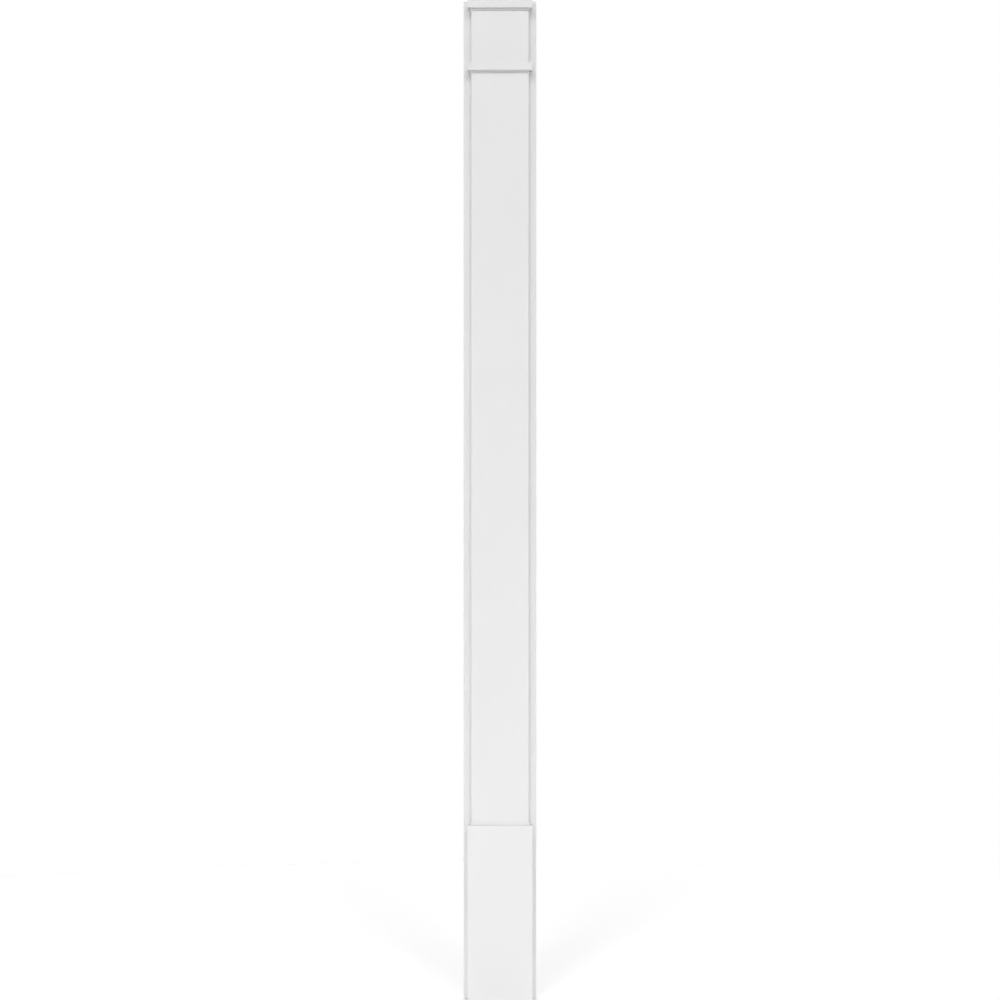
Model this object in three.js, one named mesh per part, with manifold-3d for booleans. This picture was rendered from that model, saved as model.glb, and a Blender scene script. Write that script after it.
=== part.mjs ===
// Applied pilaster of white cellular board, as fixed flat against a wall beside a door or an opening.
// Millimetres, +Z up. The front faces -Y, and the origin is the centre of the flat back.
import * as THREE from "three";
import { mergeVertices } from "three/addons/utils/BufferGeometryUtils.js";
import Module from "manifold-3d";

const INCH = 25.4;

// Heights, measured up from the foot
const TOTAL_HEIGHT = 96 * INCH;
const PLINTH_HEIGHT = 16.75 * INCH;
const FASCIA_HEIGHT = 0.75 * INCH;
const FILLET_HEIGHT = (7 / 32) * INCH;
const NECK_TOP_BELOW_TOP = 6 * INCH;

// Widths and depths, the depths measured forward from the back
const BACK_WIDTH = 7 * INCH;
const BACK_THICKNESS = 0.75 * INCH;
const SHAFT_WIDTH = 5.5 * INCH;
const TOTAL_DEPTH = 2 * INCH;

// How far each part of a profile stands proud of the last, on the front and on both sides
const FILLET_STEP = INCH / 8;
const FASCIA_STEP = INCH / 4;

// Upright front edges are eased to a small round, and glued faces keep a thin joint
const EASED_EDGE = 0.4;
const EASED_EDGE_STEPS = 2;
const GLUE_JOINT = 0.3;

// White board with a satin skin
const BOARD_COLOUR = 0xe9e9e9;
const BOARD_ROUGHNESS = 0.5;

const COLLAR_HEIGHT = FASCIA_HEIGHT + FILLET_HEIGHT;
const FILLET_WIDTH = SHAFT_WIDTH + 2 * FILLET_STEP;
const FASCIA_WIDTH = FILLET_WIDTH + 2 * FASCIA_STEP;
const FILLET_DEPTH = TOTAL_DEPTH - FASCIA_STEP;
const SHAFT_DEPTH = FILLET_DEPTH - FILLET_STEP;
const GLUED_BACK = BACK_THICKNESS + GLUE_JOINT;

const wasm = await Module();
wasm.setup();

// Plan of a board seen from above: a rectangle with its two front corners eased.
// Where a notch is given, the plan is a collar that is open at the back to take the notch's width and depth.
function boardPlan(width, backDepth, frontDepth, notch = null) {
  const half = width / 2;
  const edgeCentre = half - EASED_EDGE;
  const edgeDepth = frontDepth - EASED_EDGE;
  const plan = new THREE.Shape();
  plan.moveTo(half, -backDepth);
  if (notch) {
    plan.lineTo(notch.width / 2, -backDepth);
    plan.lineTo(notch.width / 2, -notch.depth);
    plan.lineTo(-notch.width / 2, -notch.depth);
    plan.lineTo(-notch.width / 2, -backDepth);
  }
  plan.lineTo(-half, -backDepth);
  plan.lineTo(-half, -edgeDepth);
  plan.absarc(-edgeCentre, -edgeDepth, EASED_EDGE, Math.PI, 1.5 * Math.PI, false);
  plan.absarc(edgeCentre, -edgeDepth, EASED_EDGE, 1.5 * Math.PI, 2 * Math.PI, false);
  plan.closePath();
  return plan;
}

// A plan carried straight up from one height to another.
function upright(plan, bottom, top) {
  const shape = new THREE.ExtrudeGeometry(plan, {
    depth: top - bottom,
    bevelEnabled: false,
    curveSegments: EASED_EDGE_STEPS,
  });
  shape.translate(0, 0, bottom);
  return shape;
}

// A closed geometry as a solid that can be joined to another.
function toSolid(geometry) {
  const bare = geometry.clone();
  bare.deleteAttribute("normal");
  bare.deleteAttribute("uv");
  const merged = mergeVertices(bare);
  return new wasm.Manifold(
    new wasm.Mesh({
      numProp: 3,
      vertProperties: new Float32Array(merged.attributes.position.array),
      triVerts: new Uint32Array(merged.index.array),
    }),
  );
}

// Two overlapping geometries joined as one.
function joined(first, second) {
  const mesh = toSolid(first).add(toSolid(second)).getMesh();
  const geometry = new THREE.BufferGeometry();
  geometry.setAttribute("position", new THREE.BufferAttribute(mesh.vertProperties, 3));
  geometry.setIndex(new THREE.BufferAttribute(mesh.triVerts, 1));
  geometry.computeVertexNormals();
  return geometry;
}

// A named piece of white board that stands with its own foot at the given height.
function piece(name, geometry, foot) {
  const material = new THREE.MeshStandardMaterial({
    color: BOARD_COLOUR,
    roughness: BOARD_ROUGHNESS,
    metalness: 0,
  });
  const mesh = new THREE.Mesh(geometry, material);
  mesh.name = name;
  mesh.position.z = foot;
  return mesh;
}

// The wide thin board behind everything, which shows as a flange down each side.
function backBoard() {
  return upright(boardPlan(BACK_WIDTH, 0, BACK_THICKNESS), 0, TOTAL_HEIGHT);
}

// The plain shaft, with a low fillet cut on its foot where it stands on the plinth.
function shaftBoard(height) {
  const shaft = upright(boardPlan(SHAFT_WIDTH, GLUED_BACK, SHAFT_DEPTH), 0, height);
  const fillet = upright(boardPlan(FILLET_WIDTH, GLUED_BACK, FILLET_DEPTH), 0, FILLET_HEIGHT);
  return joined(shaft, fillet);
}

// A moulding returned round the front and sides of the shaft: a tall fascia over a low fillet.
function collar() {
  const notch = { width: SHAFT_WIDTH + 2 * GLUE_JOINT, depth: SHAFT_DEPTH + GLUE_JOINT };
  const fillet = upright(boardPlan(FILLET_WIDTH, GLUED_BACK, FILLET_DEPTH, notch), 0, COLLAR_HEIGHT);
  const fasciaPlan = boardPlan(FASCIA_WIDTH, GLUED_BACK, TOTAL_DEPTH, notch);
  return joined(fillet, upright(fasciaPlan, FILLET_HEIGHT, COLLAR_HEIGHT));
}

// The plain block at the foot.
function plinthBlock() {
  return upright(boardPlan(FASCIA_WIDTH, GLUED_BACK, TOTAL_DEPTH), 0, PLINTH_HEIGHT);
}

const shaftFoot = PLINTH_HEIGHT + GLUE_JOINT;
const capFoot = TOTAL_HEIGHT - COLLAR_HEIGHT;
const neckFoot = capFoot - NECK_TOP_BELOW_TOP;

const pilaster = new THREE.Group();
pilaster.position.z = -TOTAL_HEIGHT / 2;
pilaster.add(piece("back_board", backBoard(), 0));
pilaster.add(piece("plinth_block", plinthBlock(), 0));
pilaster.add(piece("shaft_board", shaftBoard(TOTAL_HEIGHT - shaftFoot), shaftFoot));
pilaster.add(piece("neck_moulding", collar(), neckFoot));
pilaster.add(piece("cap_moulding", collar(), capFoot));

export default pilaster;
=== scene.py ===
"""Looks of an applied pilaster in white cellular board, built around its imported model."""
import math

import bpy
import numpy as np
from bpy.props import FloatProperty, FloatVectorProperty, IntProperty, PointerProperty
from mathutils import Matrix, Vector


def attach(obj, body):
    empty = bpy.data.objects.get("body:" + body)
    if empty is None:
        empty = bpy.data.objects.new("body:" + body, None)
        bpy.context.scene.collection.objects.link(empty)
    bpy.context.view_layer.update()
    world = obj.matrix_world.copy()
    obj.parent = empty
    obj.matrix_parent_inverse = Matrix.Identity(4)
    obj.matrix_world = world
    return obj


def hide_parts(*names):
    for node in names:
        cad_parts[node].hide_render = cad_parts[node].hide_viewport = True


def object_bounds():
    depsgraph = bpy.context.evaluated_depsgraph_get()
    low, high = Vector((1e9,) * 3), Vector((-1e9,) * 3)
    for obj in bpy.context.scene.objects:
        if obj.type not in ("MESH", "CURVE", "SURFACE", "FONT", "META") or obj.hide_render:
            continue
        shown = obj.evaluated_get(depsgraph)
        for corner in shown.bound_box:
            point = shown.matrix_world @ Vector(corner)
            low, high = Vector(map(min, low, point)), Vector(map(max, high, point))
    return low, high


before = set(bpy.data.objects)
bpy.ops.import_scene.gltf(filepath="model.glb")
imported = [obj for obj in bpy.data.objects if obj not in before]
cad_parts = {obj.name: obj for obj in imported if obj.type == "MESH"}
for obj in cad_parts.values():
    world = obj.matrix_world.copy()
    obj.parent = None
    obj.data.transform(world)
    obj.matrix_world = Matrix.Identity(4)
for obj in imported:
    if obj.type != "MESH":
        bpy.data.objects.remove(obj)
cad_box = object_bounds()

bl_info = {
    "name": "White Board Pilaster",
    "version": (1, 0, 0),
    "blender": (4, 5, 0),
    "location": "View3D > Sidebar > Pilaster",
    "description": "Builds the boards, the mouldings and the stage of an applied pilaster",
    "category": "Add Mesh",
}

BODY = "root"

# Decimal places, in metres, to which heights in the CAD meshes are told apart
HEIGHT_PLACES = 5

# Edge radii from a board's side to where the flat face over its end starts
END_MARGIN = 2

# Pieces in the order in which the pattern of the skin moves on, by more than a piece's length each time
PATTERN_ORDER = ("flange_board", "square_plinth", "plain_shaft", "neck_collar", "cap_collar")
PATTERN_STEP = 3.0

# Patches in a metre of skin, and how many times as long as wide the streaks are
PATCHES_PER_METRE = 4
STREAK_STRETCH = 100

# Share of the streaks in what patches and streaks, or dimples and streaks, make together
STREAK_SHARE = 0.3

# Middle of a noise pattern, and how far the skin's roughness strays with the streaks
NOISE_MIDDLE = 0.5
ROUGHNESS_SPREAD = 0.08

# How far a face turns up or down, from not cut across the board at all to fully cut
CUT_FACE = (0.85, 0.98)

# Distance from the middle of a cell, as a share of its size, from its wall to its open hollow
CELL_HOLLOW = (0.55, 0.15)

# The floor: its sides, its gap under the pilaster, and its paper's roughness and tooth
FLOOR_SIDES = 128
FLOOR_GAP = 0.0002
PAPER_ROUGHNESS = 0.85
PAPER_TOOTH = 0.1
TOOTH_PER_METRE = 400

# Parts of a unit direction between which a light comes in: inward for the ring in front and the strip
# behind, across for the strip's sides, and up for the light from below the horizon
FRONT_BLEND = (0.0, -0.35)
BEHIND_BLEND = (0.1, 0.4)
STRIP_BLEND = (0.45, 0.2)
GROUND_BLEND = (0.0, -0.08)

# Socket numbers of the Mix node, which gives its sockets for colours the same names as those for numbers
MIX_FACTOR = 0
MIX_FIRST_COLOUR = 6
MIX_SECOND_COLOUR = 7
MIX_COLOUR_OUT = 2


class PilasterEdges(bpy.types.PropertyGroup):
    """How the edges and joints of the boards are worked."""

    eased_edge: FloatProperty(
        name="Eased edge",
        description="Radius of the sanded outer edges of the shaft, plinth and mouldings",
        default=0.0003, min=0.0001, max=0.0025, precision=5, unit="LENGTH",
    )
    flange_edge: FloatProperty(
        name="Flange edge",
        description="Radius of the outer edges of the back board",
        default=0.0008, min=0.0002, max=0.005, precision=5, unit="LENGTH",
    )
    tight_corner: FloatProperty(
        name="Tight corner",
        description="Radius inside a step and on an edge that is glued to another piece",
        default=0.0003, min=0.0001, max=0.001, precision=5, unit="LENGTH",
    )
    mitre_line: FloatProperty(
        name="Mitre line",
        description="Depth of the fine mitre line on the mouldings, less than the radius of their edges",
        default=0.0002, min=0.0, max=0.001, precision=5, unit="LENGTH",
    )
    arc_steps: IntProperty(
        name="Arc steps",
        description="Flat strips in each rounded edge, an even number so that one line falls on the mitre",
        default=6, min=2, max=24, step=2,
    )


class PilasterFinish(bpy.types.PropertyGroup):
    """The white board's skin, and the faces where it is cut."""

    skin_colour: FloatVectorProperty(
        name="Skin colour",
        description="Colour of the smooth skin",
        default=(0.84, 0.84, 0.84), min=0.0, max=1.0, size=3, subtype="COLOR",
    )
    shade_colour: FloatVectorProperty(
        name="Shade colour",
        description="Colour that the skin drifts towards in broad faint patches",
        default=(0.815, 0.815, 0.815), min=0.0, max=1.0, size=3, subtype="COLOR",
    )
    cell_colour: FloatVectorProperty(
        name="Cell colour",
        description="Colour in the open cells of a cut face",
        default=(0.74, 0.74, 0.735), min=0.0, max=1.0, size=3, subtype="COLOR",
    )
    skin_roughness: FloatProperty(
        name="Skin roughness",
        description="Roughness of the satin skin",
        default=0.46, min=0.0, max=1.0, subtype="FACTOR",
    )
    cut_roughness: FloatProperty(
        name="Cut roughness",
        description="Roughness of a cut face",
        default=0.68, min=0.0, max=1.0, subtype="FACTOR",
    )
    peel_size: FloatProperty(
        name="Peel size",
        description="Size of the fine dimples in the skin",
        default=0.0016, min=0.0003, max=0.01, precision=5, unit="LENGTH",
    )
    streak_size: FloatProperty(
        name="Streak size",
        description="Width of the faint streaks that run along the boards",
        default=0.004, min=0.0005, max=0.02, precision=5, unit="LENGTH",
    )
    cell_size: FloatProperty(
        name="Cell size",
        description="Size of the cells that show on a cut face",
        default=0.0007, min=0.0002, max=0.005, precision=5, unit="LENGTH",
    )
    relief: FloatProperty(
        name="Relief",
        description="Depth of the skin's dimples and of the open cells",
        default=0.000012, min=0.0, max=0.001, precision=6, unit="LENGTH",
    )


class PilasterStage(bpy.types.PropertyGroup):
    """The camera, the lights and the floor."""

    camera_distance: FloatProperty(
        name="Camera distance",
        description="Distance from the wall line to the camera",
        default=8.0, min=2.0, max=40.0, unit="LENGTH",
    )
    camera_drop: FloatProperty(
        name="Camera drop",
        description="How far the camera stands below the middle of the pilaster",
        default=0.0007, min=-0.5, max=0.5, precision=5, unit="LENGTH",
    )
    picture_height: FloatProperty(
        name="Picture height",
        description="Height that the picture spans on the front face of the plinth",
        default=2.4362, min=0.5, max=10.0, precision=4, unit="LENGTH",
    )
    key_strength: FloatProperty(
        name="Key strength",
        description="Strength of each of the two key lights in front",
        default=0.46, min=0.0, max=10.0,
    )
    key_softness: FloatProperty(
        name="Key softness",
        description="Width of each key light as an angle",
        default=math.radians(10), min=0.0, max=math.pi, subtype="ANGLE",
    )
    key_height: FloatProperty(
        name="Key height",
        description="Angle of the key lights above the horizon",
        default=math.radians(38), min=0.0, max=math.pi / 2, subtype="ANGLE",
    )
    key_spread: FloatProperty(
        name="Key spread",
        description="Angle of each key light to the side of the camera",
        default=math.radians(12), min=0.0, max=math.pi / 2, subtype="ANGLE",
    )
    ring_strength: FloatProperty(
        name="Ring strength",
        description="Strength of the soft ring of light in front",
        default=2.42, min=0.0, max=20.0,
    )
    ring_low: FloatProperty(
        name="Ring low edge",
        description="Angle above the horizon at which the ring of light starts",
        default=math.radians(20), min=0.0, max=math.pi / 2, subtype="ANGLE",
    )
    ring_bright: FloatProperty(
        name="Ring brightest",
        description="Angle above the horizon at which the ring of light is at its full strength",
        default=math.radians(28), min=0.0, max=math.pi / 2, subtype="ANGLE",
    )
    ring_high: FloatProperty(
        name="Ring high edge",
        description="Angle above the horizon at which the ring of light has faded out",
        default=math.radians(80), min=0.0, max=math.pi / 2, subtype="ANGLE",
    )
    lean: FloatProperty(
        name="Lean",
        description="How much stronger the lights are on the left, as a share of their strength",
        default=0.1, min=-1.0, max=1.0, subtype="FACTOR",
    )
    back_share: FloatProperty(
        name="Back share",
        description="Strength of the soft strip of light behind, as a share of the ring's",
        default=4.0, min=0.0, max=10.0,
    )
    ground: FloatProperty(
        name="Ground",
        description="Strength of the light from below the horizon, past the edge of the floor",
        default=0.63, min=0.0, max=5.0,
    )
    floor_radius: FloatProperty(
        name="Floor radius",
        description="Radius of the round floor",
        default=3.0, min=0.5, max=20.0, unit="LENGTH",
    )
    floor_colour: FloatVectorProperty(
        name="Floor colour",
        description="Colour of the floor",
        default=(0.93, 0.93, 0.93), min=0.0, max=1.0, size=3, subtype="COLOR",
    )


class Wire:
    """A socket in a node tree. Adding, subtracting or multiplying wires and numbers adds Math nodes."""

    def __init__(self, tree, socket=None):
        self.tree = tree
        self.socket = socket

    def node(self, kind, sockets=None, output=0, **settings):
        """Adds a node, makes its settings, fills its sockets with wires or values, and gives one output."""
        made = self.tree.nodes.new(kind)
        for name, value in settings.items():
            setattr(made, name, value)
        for name, value in (sockets or {}).items():
            if isinstance(value, Wire):
                self.tree.links.new(value.socket, made.inputs[name])
            else:
                made.inputs[name].default_value = value
        return Wire(self.tree, made.outputs[output] if made.outputs else None)

    def maths(self, operation, first, second):
        """Adds a Math node that works on two wires or numbers."""
        return self.node("ShaderNodeMath", {0: first, 1: second}, operation=operation)

    def __add__(self, other):
        return self.maths("ADD", self, other)

    __radd__ = __add__

    def __sub__(self, other):
        return self.maths("SUBTRACT", self, other)

    def __rsub__(self, other):
        return self.maths("SUBTRACT", other, self)

    def __mul__(self, other):
        return self.maths("MULTIPLY", self, other)

    __rmul__ = __mul__

    def __abs__(self):
        return self.node("ShaderNodeMath", {0: self}, operation="ABSOLUTE")


def smooth_step(value, start, end):
    """A wire that goes smoothly from 0, where a value is at the start, to 1, where it is at the end."""
    return value.node(
        "ShaderNodeMapRange",
        {"Value": value, "From Min": start, "From Max": end},
        interpolation_type="SMOOTHSTEP",
    )


def right_of(heading):
    """The unit direction to the right of a heading, which is an angle from the first axis."""
    return np.stack([np.sin(heading), -np.cos(heading)], axis=-1)


def eased_line(corners, radii, steps, closed=False):
    """A line with its corners rounded, as its points and the unit directions to its right there.

    An arc takes the place of each corner. It leaves the first side radius * tan(turn / 2) before the
    corner, and its heading swings in even steps from that side's to the next one's. The point moves by
    the radius times the change in the direction to the right. The two ends of an open line stay.
    """
    corners = np.asarray(corners, dtype=float)
    line = np.vstack([corners[-1:], corners, corners[:1]]) if closed else corners
    sides = np.diff(line, axis=0)
    headings = np.arctan2(sides[:, 1], sides[:, 0])
    arriving = headings[:-1, None]
    turn = (headings[1:, None] - arriving + math.pi) % (2 * math.pi) - math.pi
    radius = np.broadcast_to(radii, len(turn))[:, None]
    forward = sides[:-1] / np.linalg.norm(sides[:-1], axis=1, keepdims=True)
    start = line[1:-1] - radius * np.tan(abs(turn) / 2) * forward
    right = right_of(arriving + turn * np.linspace(0, 1, steps + 1))
    swing = (np.sign(turn) * radius)[:, :, None] * (right - right_of(arriving))
    points = (start[:, None] + swing).reshape(-1, 2)
    right = right.reshape(-1, 2)
    if closed:
        return points, right
    return (
        np.vstack([corners[:1], points, corners[-1:]]),
        np.vstack([right[:1], right, right[-1:]]),
    )


def carried(outline, spread, tuck, profile):
    """A profile carried along the outline of a plan, as a grid of points.

    A profile's point is a reach and a height. Each point of the outline moves by spread times the reach,
    and where the reach is less than nothing also by tuck times the reach, and then up to the height.
    """
    reach = profile[..., :1]
    level = outline[:, None] + spread[:, None] * reach + tuck[:, None] * np.minimum(reach, 0)
    height = np.broadcast_to(profile[..., 1], level.shape[:2])
    return np.dstack([level, height])


def cad_points(node):
    """Every point of a CAD node's mesh, as rows of x, y and z."""
    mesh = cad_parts[node].data
    points = np.empty(3 * len(mesh.vertices))
    mesh.vertices.foreach_get("co", points)
    return points.reshape(-1, 3)


def cad_levels(node):
    """The heights at which a CAD node's plan starts, changes and ends, from its foot up."""
    return np.unique(cad_points(node)[:, 2].round(HEIGHT_PLACES))


def cad_plan(node, height):
    """A CAD node's plan at one height: half its width, and the depths of its back and its front."""
    points = cad_points(node)
    level = points[points[:, 2].round(HEIGHT_PLACES) == height]
    return level[:, 0].max(), -level[:, 1].max(), -level[:, 1].min()


def add_object(name, data):
    """A new object in the scene that shows the given data."""
    made = bpy.data.objects.new(name, data)
    bpy.context.scene.collection.objects.link(made)
    return made


def mesh_piece(name, grid, closed_plan, material):
    """A piece from a grid of points: a four-sided face between neighbours, and a flat face over each end.

    A closed plan carries an open profile, so the flat faces are its foot and its top. An open plan
    carries a closed profile, so they are its two ends.
    """
    index = np.arange(grid.shape[0] * grid.shape[1]).reshape(grid.shape[:2])
    if closed_plan:
        ends = [index[::-1, 0], index[:, -1]]
        index = np.vstack([index, index[:1]])
    else:
        ends = [index[0], index[-1, ::-1]]
        index = np.hstack([index, index[:, :1]])
    quads = np.stack([index[:-1, :-1], index[1:, :-1], index[1:, 1:], index[:-1, 1:]], axis=-1)
    faces = [*quads.reshape(-1, 4).tolist(), *(end.tolist() for end in ends)]
    mesh = bpy.data.meshes.new(name)
    mesh.from_pydata(grid.reshape(-1, 3).tolist(), [], faces)
    mesh.materials.append(material)
    return add_object(name, mesh)


def fit_piece(piece, node):
    """Puts a piece, which already wears the white board's finish, on the pilaster in the place of a CAD
    node, and hides the node.
    """
    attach(piece, BODY)
    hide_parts(node)


def board_grid(plan, profile_corners, profile_radii, edge, edges):
    """A board: the profile from the middle of its foot to the middle of its top, carried round its plan.

    The plan's four corners are rounded, the glued back ones tightly. Its sides and front move out with
    the profile's reach, and its back only moves in, so that it stays flat where it is glued.
    """
    half, back, front = plan
    steps = edges.arc_steps
    corners = [(-half, -back), (-half, -front), (half, -front), (half, -back)]
    radii = [edges.tight_corner, edge, edge, edges.tight_corner]
    outline, _ = eased_line(corners, radii, steps, closed=True)
    spread = np.repeat([(-1, 0), (-1, -1), (1, -1), (1, 0)], steps + 1, axis=0)
    tuck = np.repeat([(0, 1), (0, 0), (0, 0), (0, 1)], steps + 1, axis=0)
    profile, _ = eased_line(profile_corners, profile_radii, steps)
    return carried(outline, spread, tuck, profile)


def plain_board_grid(node, edge, edges):
    """A board of one plan from its foot to its top, with both of its ends eased."""
    foot, top = cad_levels(node)
    inset = -END_MARGIN * edge
    profile_corners = [(inset, foot), (0, foot), (0, top), (inset, top)]
    return board_grid(cad_plan(node, foot), profile_corners, [edge, edge], edge, edges)


def shaft_grid(edges):
    """The shaft: up round its low foot fillet, in over the fillet's ledge, and straight up to the top."""
    foot, ledge, top = cad_levels("shaft_board")
    plan = cad_plan("shaft_board", top)
    fillet_half, _, _ = cad_plan("shaft_board", foot)
    step = fillet_half - plan[0]
    edge = edges.eased_edge
    inset = -END_MARGIN * edge
    profile_corners = [(inset, foot), (step, foot), (step, ledge), (0, ledge), (0, top), (inset, top)]
    return board_grid(plan, profile_corners, [edge, edge, edges.tight_corner, edge], edge, edges)


def moulding_grid(node, edges):
    """A moulding: a closed profile of fascia over fillet, carried round three sides of the shaft.

    The path is the shaft's own plan, open at the back. Every point of the profile keeps its distance
    from it, so the two corners are mitred. The profile sinks along its own inward directions at the
    middle of each corner, which leaves a fine line along the mitre.
    """
    foot, ledge, top = cad_levels(node)
    _, _, shaft_top = cad_levels("shaft_board")
    half, _, front = cad_plan("shaft_board", shaft_top)
    fillet_half, back, _ = cad_plan(node, foot)
    fascia_half, _, _ = cad_plan(node, top)
    flange_foot, _ = cad_levels("back_board")
    _, _, flange_front = cad_plan("back_board", flange_foot)
    joint = back - flange_front
    steps = edges.arc_steps
    tight = edges.tight_corner
    edge = edges.eased_edge

    corners = [(-half, -back), (-half, -front), (half, -front), (half, -back)]
    path, _ = eased_line(corners, edge, steps)
    spread = np.repeat([(-1, 0), (-1, -1), (1, -1), (1, 0)], [1, steps + 1, steps + 1, 1], axis=0)

    fillet = fillet_half - half
    fascia = fascia_half - half
    fillet_corners = [(joint, foot), (fillet, foot), (fillet, ledge)]
    fascia_corners = [(fascia, ledge), (fascia, top), (joint, top)]
    radii = [tight, edge, tight, edge, edge, tight]
    profile, outwards = eased_line(fillet_corners + fascia_corners, radii, steps, closed=True)

    sunk = np.zeros(len(path))
    first_mitre = 1 + steps // 2
    sunk[[first_mitre, len(path) - 1 - first_mitre]] = edges.mitre_line
    profiles = profile - sunk[:, None, None] * outwards
    return carried(path, spread, np.zeros_like(spread), profiles)


def white_board(piece_name, finish):
    """The white board's material: a satin skin, and matt cells on faces that are cut across the board.

    The skin drifts in broad faint patches, has fine dimples, and faint streaks along the board. A face
    counts as cut by how far it turns up or down. The pattern moves on from piece to piece.
    """
    material = bpy.data.materials.new(piece_name + "_skin")
    material.use_nodes = True
    tree = material.node_tree
    tree.nodes.clear()
    bench = Wire(tree)

    offset = PATTERN_STEP * PATTERN_ORDER.index(piece_name)
    place = bench.node("ShaderNodeTexCoord", output="Object")
    place = bench.node("ShaderNodeMapping", {"Vector": place, "Location": (0, 0, offset)})
    lengthwise = bench.node("ShaderNodeMapping", {"Vector": place, "Scale": (1, 1, 1 / STREAK_STRETCH)})
    patches = bench.node("ShaderNodeTexNoise", {"Vector": place, "Scale": PATCHES_PER_METRE, "Detail": 3})
    streaks = bench.node(
        "ShaderNodeTexNoise",
        {"Vector": lengthwise, "Scale": 1 / finish.streak_size, "Detail": 2},
    )
    dimples = bench.node(
        "ShaderNodeTexNoise",
        {"Vector": place, "Scale": 1 / finish.peel_size, "Detail": 1},
    )
    cells = bench.node(
        "ShaderNodeTexVoronoi",
        {"Vector": place, "Scale": 1 / finish.cell_size},
        output="Distance",
    )

    facing = bench.node("ShaderNodeNewGeometry", output="Normal")
    rise = abs(bench.node("ShaderNodeSeparateXYZ", {"Vector": facing}, output="Z"))
    cut = smooth_step(rise, *CUT_FACE)
    open_cells = smooth_step(cells, *CELL_HOLLOW)

    skin = bench.node(
        "ShaderNodeMix",
        {
            MIX_FACTOR: (1 - STREAK_SHARE) * patches + STREAK_SHARE * streaks,
            MIX_FIRST_COLOUR: (*finish.skin_colour, 1),
            MIX_SECOND_COLOUR: (*finish.shade_colour, 1),
        },
        output=MIX_COLOUR_OUT,
        data_type="RGBA",
    )
    colour = bench.node(
        "ShaderNodeMix",
        {
            MIX_FACTOR: cut * open_cells,
            MIX_FIRST_COLOUR: skin,
            MIX_SECOND_COLOUR: (*finish.cell_colour, 1),
        },
        output=MIX_COLOUR_OUT,
        data_type="RGBA",
    )
    skin_roughness = finish.skin_roughness + ROUGHNESS_SPREAD * (streaks - NOISE_MIDDLE)
    roughness = skin_roughness + cut * (finish.cut_roughness - skin_roughness)
    skin_height = (1 - STREAK_SHARE) * dimples + STREAK_SHARE * streaks
    height = skin_height + cut * ((1 - open_cells) - skin_height)
    normal = bench.node("ShaderNodeBump", {"Strength": 1.0, "Distance": finish.relief, "Height": height})
    shader = bench.node(
        "ShaderNodeBsdfPrincipled",
        {
            "Base Color": colour,
            "Roughness": roughness,
            "Normal": normal,
            "Metallic": 0.0,
            "IOR": 1.5,
            "Specular IOR Level": 0.4,
        },
    )
    bench.node("ShaderNodeOutputMaterial", {"Surface": shader})
    return material


def floor_paper(colour):
    """The floor's material: plain pale matt paper with a faint tooth."""
    material = bpy.data.materials.new("floor_paper")
    material.use_nodes = True
    tree = material.node_tree
    tree.nodes.clear()
    bench = Wire(tree)
    place = bench.node("ShaderNodeTexCoord", output="Object")
    tooth = bench.node("ShaderNodeTexNoise", {"Vector": place, "Scale": TOOTH_PER_METRE, "Detail": 2})
    shader = bench.node(
        "ShaderNodeBsdfPrincipled",
        {
            "Base Color": (*colour, 1),
            "Roughness": PAPER_ROUGHNESS + PAPER_TOOTH * tooth,
            "Specular IOR Level": 0.2,
        },
    )
    bench.node("ShaderNodeOutputMaterial", {"Surface": shader})
    return material


def studio_dome(stage):
    """The world: soft light in front and behind, even light from below, and a white background.

    The soft light's strength rises smoothly between two heights, which are the sines of its angles above
    the horizon, and fades smoothly to a third. In front it is half a ring that leans to the left by a
    share of its strength. Behind it is a narrow strip, which lights the floor and the back.
    """
    world = bpy.data.worlds.new("studio_dome")
    world.use_nodes = True
    tree = world.node_tree
    tree.nodes.clear()
    bench = Wire(tree)
    direction = bench.node("ShaderNodeTexCoord", output="Generated")
    across = bench.node("ShaderNodeSeparateXYZ", {"Vector": direction}, output="X")
    inward = bench.node("ShaderNodeSeparateXYZ", {"Vector": direction}, output="Y")
    up = bench.node("ShaderNodeSeparateXYZ", {"Vector": direction}, output="Z")
    angles = (stage.ring_low, stage.ring_bright, stage.ring_high)
    low, bright, high = (math.sin(angle) for angle in angles)
    rise = smooth_step(up, low, bright)
    fade = smooth_step(up, high, bright)
    front = smooth_step(inward, *FRONT_BLEND) * (1 - stage.lean * across)
    strip = smooth_step(inward, *BEHIND_BLEND) * smooth_step(abs(across), *STRIP_BLEND)
    ring = stage.ring_strength * rise * fade * (front + stage.back_share * strip)
    below = stage.ground * smooth_step(up, *GROUND_BLEND)
    dome = bench.node("ShaderNodeBackground", {"Color": (1, 1, 1, 1), "Strength": ring + below})
    white = bench.node("ShaderNodeBackground", {"Color": (1, 1, 1, 1), "Strength": 1.0})
    seen = bench.node("ShaderNodeLightPath", output="Is Camera Ray")
    both = bench.node("ShaderNodeMixShader", {"Fac": seen, 1: dome, 2: white})
    bench.node("ShaderNodeOutputWorld", {"Surface": both})
    return world


class PILASTER_OT_back_board(bpy.types.Operator):
    """Build the wide thin board that meets the wall and shows as a flange down each side"""

    bl_idname = "pilaster.back_board"
    bl_label = "Back board"

    def execute(self, context):
        edges = context.scene.pilaster_edges
        material = white_board("flange_board", context.scene.pilaster_finish)
        grid = plain_board_grid("back_board", edges.flange_edge, edges)
        fit_piece(mesh_piece("flange_board", grid, True, material), "back_board")
        return {"FINISHED"}


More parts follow.
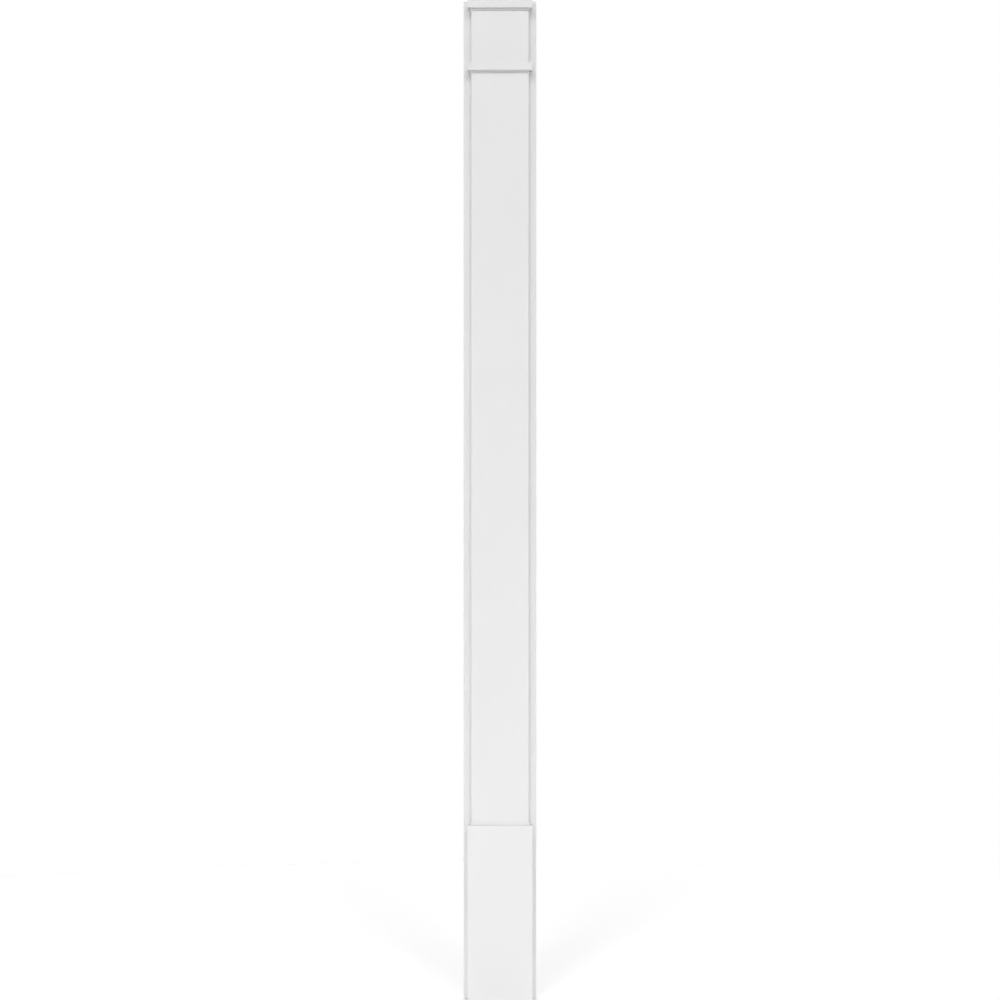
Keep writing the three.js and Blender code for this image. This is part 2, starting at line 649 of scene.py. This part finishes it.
class PILASTER_OT_plinth(bpy.types.Operator):
    """Build the plain block at the foot"""

    bl_idname = "pilaster.plinth"
    bl_label = "Plinth"

    def execute(self, context):
        edges = context.scene.pilaster_edges
        material = white_board("square_plinth", context.scene.pilaster_finish)
        grid = plain_board_grid("plinth_block", edges.eased_edge, edges)
        fit_piece(mesh_piece("square_plinth", grid, True, material), "plinth_block")
        return {"FINISHED"}


class PILASTER_OT_shaft(bpy.types.Operator):
    """Build the plain shaft with the low fillet on its foot"""

    bl_idname = "pilaster.shaft"
    bl_label = "Shaft"

    def execute(self, context):
        material = white_board("plain_shaft", context.scene.pilaster_finish)
        grid = shaft_grid(context.scene.pilaster_edges)
        fit_piece(mesh_piece("plain_shaft", grid, True, material), "shaft_board")
        return {"FINISHED"}


class PILASTER_OT_mouldings(bpy.types.Operator):
    """Build the neck and cap mouldings, returned round the front and sides of the shaft"""

    bl_idname = "pilaster.mouldings"
    bl_label = "Mouldings"

    def execute(self, context):
        for name, node in (("neck_collar", "neck_moulding"), ("cap_collar", "cap_moulding")):
            material = white_board(name, context.scene.pilaster_finish)
            grid = moulding_grid(node, context.scene.pilaster_edges)
            fit_piece(mesh_piece(name, grid, False, material), node)
        return {"FINISHED"}


class PILASTER_OT_stage(bpy.types.Operator):
    """Set up the floor, the lights, the white background and the camera in front"""

    bl_idname = "pilaster.stage"
    bl_label = "Stage"

    def execute(self, context):
        stage = context.scene.pilaster_stage
        low, high = cad_box

        around = np.linspace(0, 2 * math.pi, FLOOR_SIDES, endpoint=False)
        height = np.full_like(around, low.z - FLOOR_GAP)
        radius = stage.floor_radius
        rim = np.stack([radius * np.cos(around), radius * np.sin(around), height], axis=-1)
        floor_mesh = bpy.data.meshes.new("studio_floor")
        floor_mesh.from_pydata(rim.tolist(), [], [list(range(len(rim)))])
        floor_mesh.materials.append(floor_paper(stage.floor_colour))
        add_object("studio_floor", floor_mesh)

        # A key light on the left and one on the right, the left one stronger by the lean
        for side in (-1, 1):
            key = bpy.data.lights.new("key_light", "SUN")
            key.energy = stage.key_strength * (1 - side * stage.lean)
            key.angle = stage.key_softness
            turn = (math.pi / 2 - stage.key_height, 0, side * stage.key_spread)
            add_object("key_light", key).rotation_euler = turn

        context.scene.world = studio_dome(stage)
        context.scene.view_settings.view_transform = "Standard"

        lens = bpy.data.cameras.new("front_camera")
        lens.sensor_fit = "HORIZONTAL"
        front = -low.y
        lens.lens = lens.sensor_width * (stage.camera_distance - front) / stage.picture_height
        camera = add_object("front_camera", lens)
        camera.location = (0, -stage.camera_distance, (low.z + high.z) / 2 - stage.camera_drop)
        camera.rotation_euler = (math.pi / 2, 0, 0)
        context.scene.camera = camera
        return {"FINISHED"}


OPERATORS = (
    PILASTER_OT_back_board,
    PILASTER_OT_plinth,
    PILASTER_OT_shaft,
    PILASTER_OT_mouldings,
    PILASTER_OT_stage,
)


class PILASTER_PT_sidebar(bpy.types.Panel):
    """The pilaster's settings, and a button for each of its pieces"""

    bl_idname = "PILASTER_PT_sidebar"
    bl_label = "Pilaster"
    bl_space_type = "VIEW_3D"
    bl_region_type = "UI"
    bl_category = "Pilaster"

    def draw(self, context):
        scene = context.scene
        for settings in (scene.pilaster_edges, scene.pilaster_finish, scene.pilaster_stage):
            box = self.layout.box()
            for name in settings.__annotations__:
                box.prop(settings, name)
        for operator in OPERATORS:
            self.layout.operator(operator.bl_idname)


CLASSES = (PilasterEdges, PilasterFinish, PilasterStage, *OPERATORS, PILASTER_PT_sidebar)


def register():
    """Makes the classes and the scene's settings known to Blender."""
    for item in CLASSES:
        bpy.utils.register_class(item)
    bpy.types.Scene.pilaster_edges = PointerProperty(type=PilasterEdges)
    bpy.types.Scene.pilaster_finish = PointerProperty(type=PilasterFinish)
    bpy.types.Scene.pilaster_stage = PointerProperty(type=PilasterStage)


def unregister():
    """Takes the settings and the classes away again."""
    del bpy.types.Scene.pilaster_stage
    del bpy.types.Scene.pilaster_finish
    del bpy.types.Scene.pilaster_edges
    for item in reversed(CLASSES):
        bpy.utils.unregister_class(item)


def main():
    """Builds the pilaster and its stage."""
    register()
    bpy.ops.pilaster.back_board()
    bpy.ops.pilaster.plinth()
    bpy.ops.pilaster.shaft()
    bpy.ops.pilaster.mouldings()
    bpy.ops.pilaster.stage()


if __name__ == "__main__":
    main()
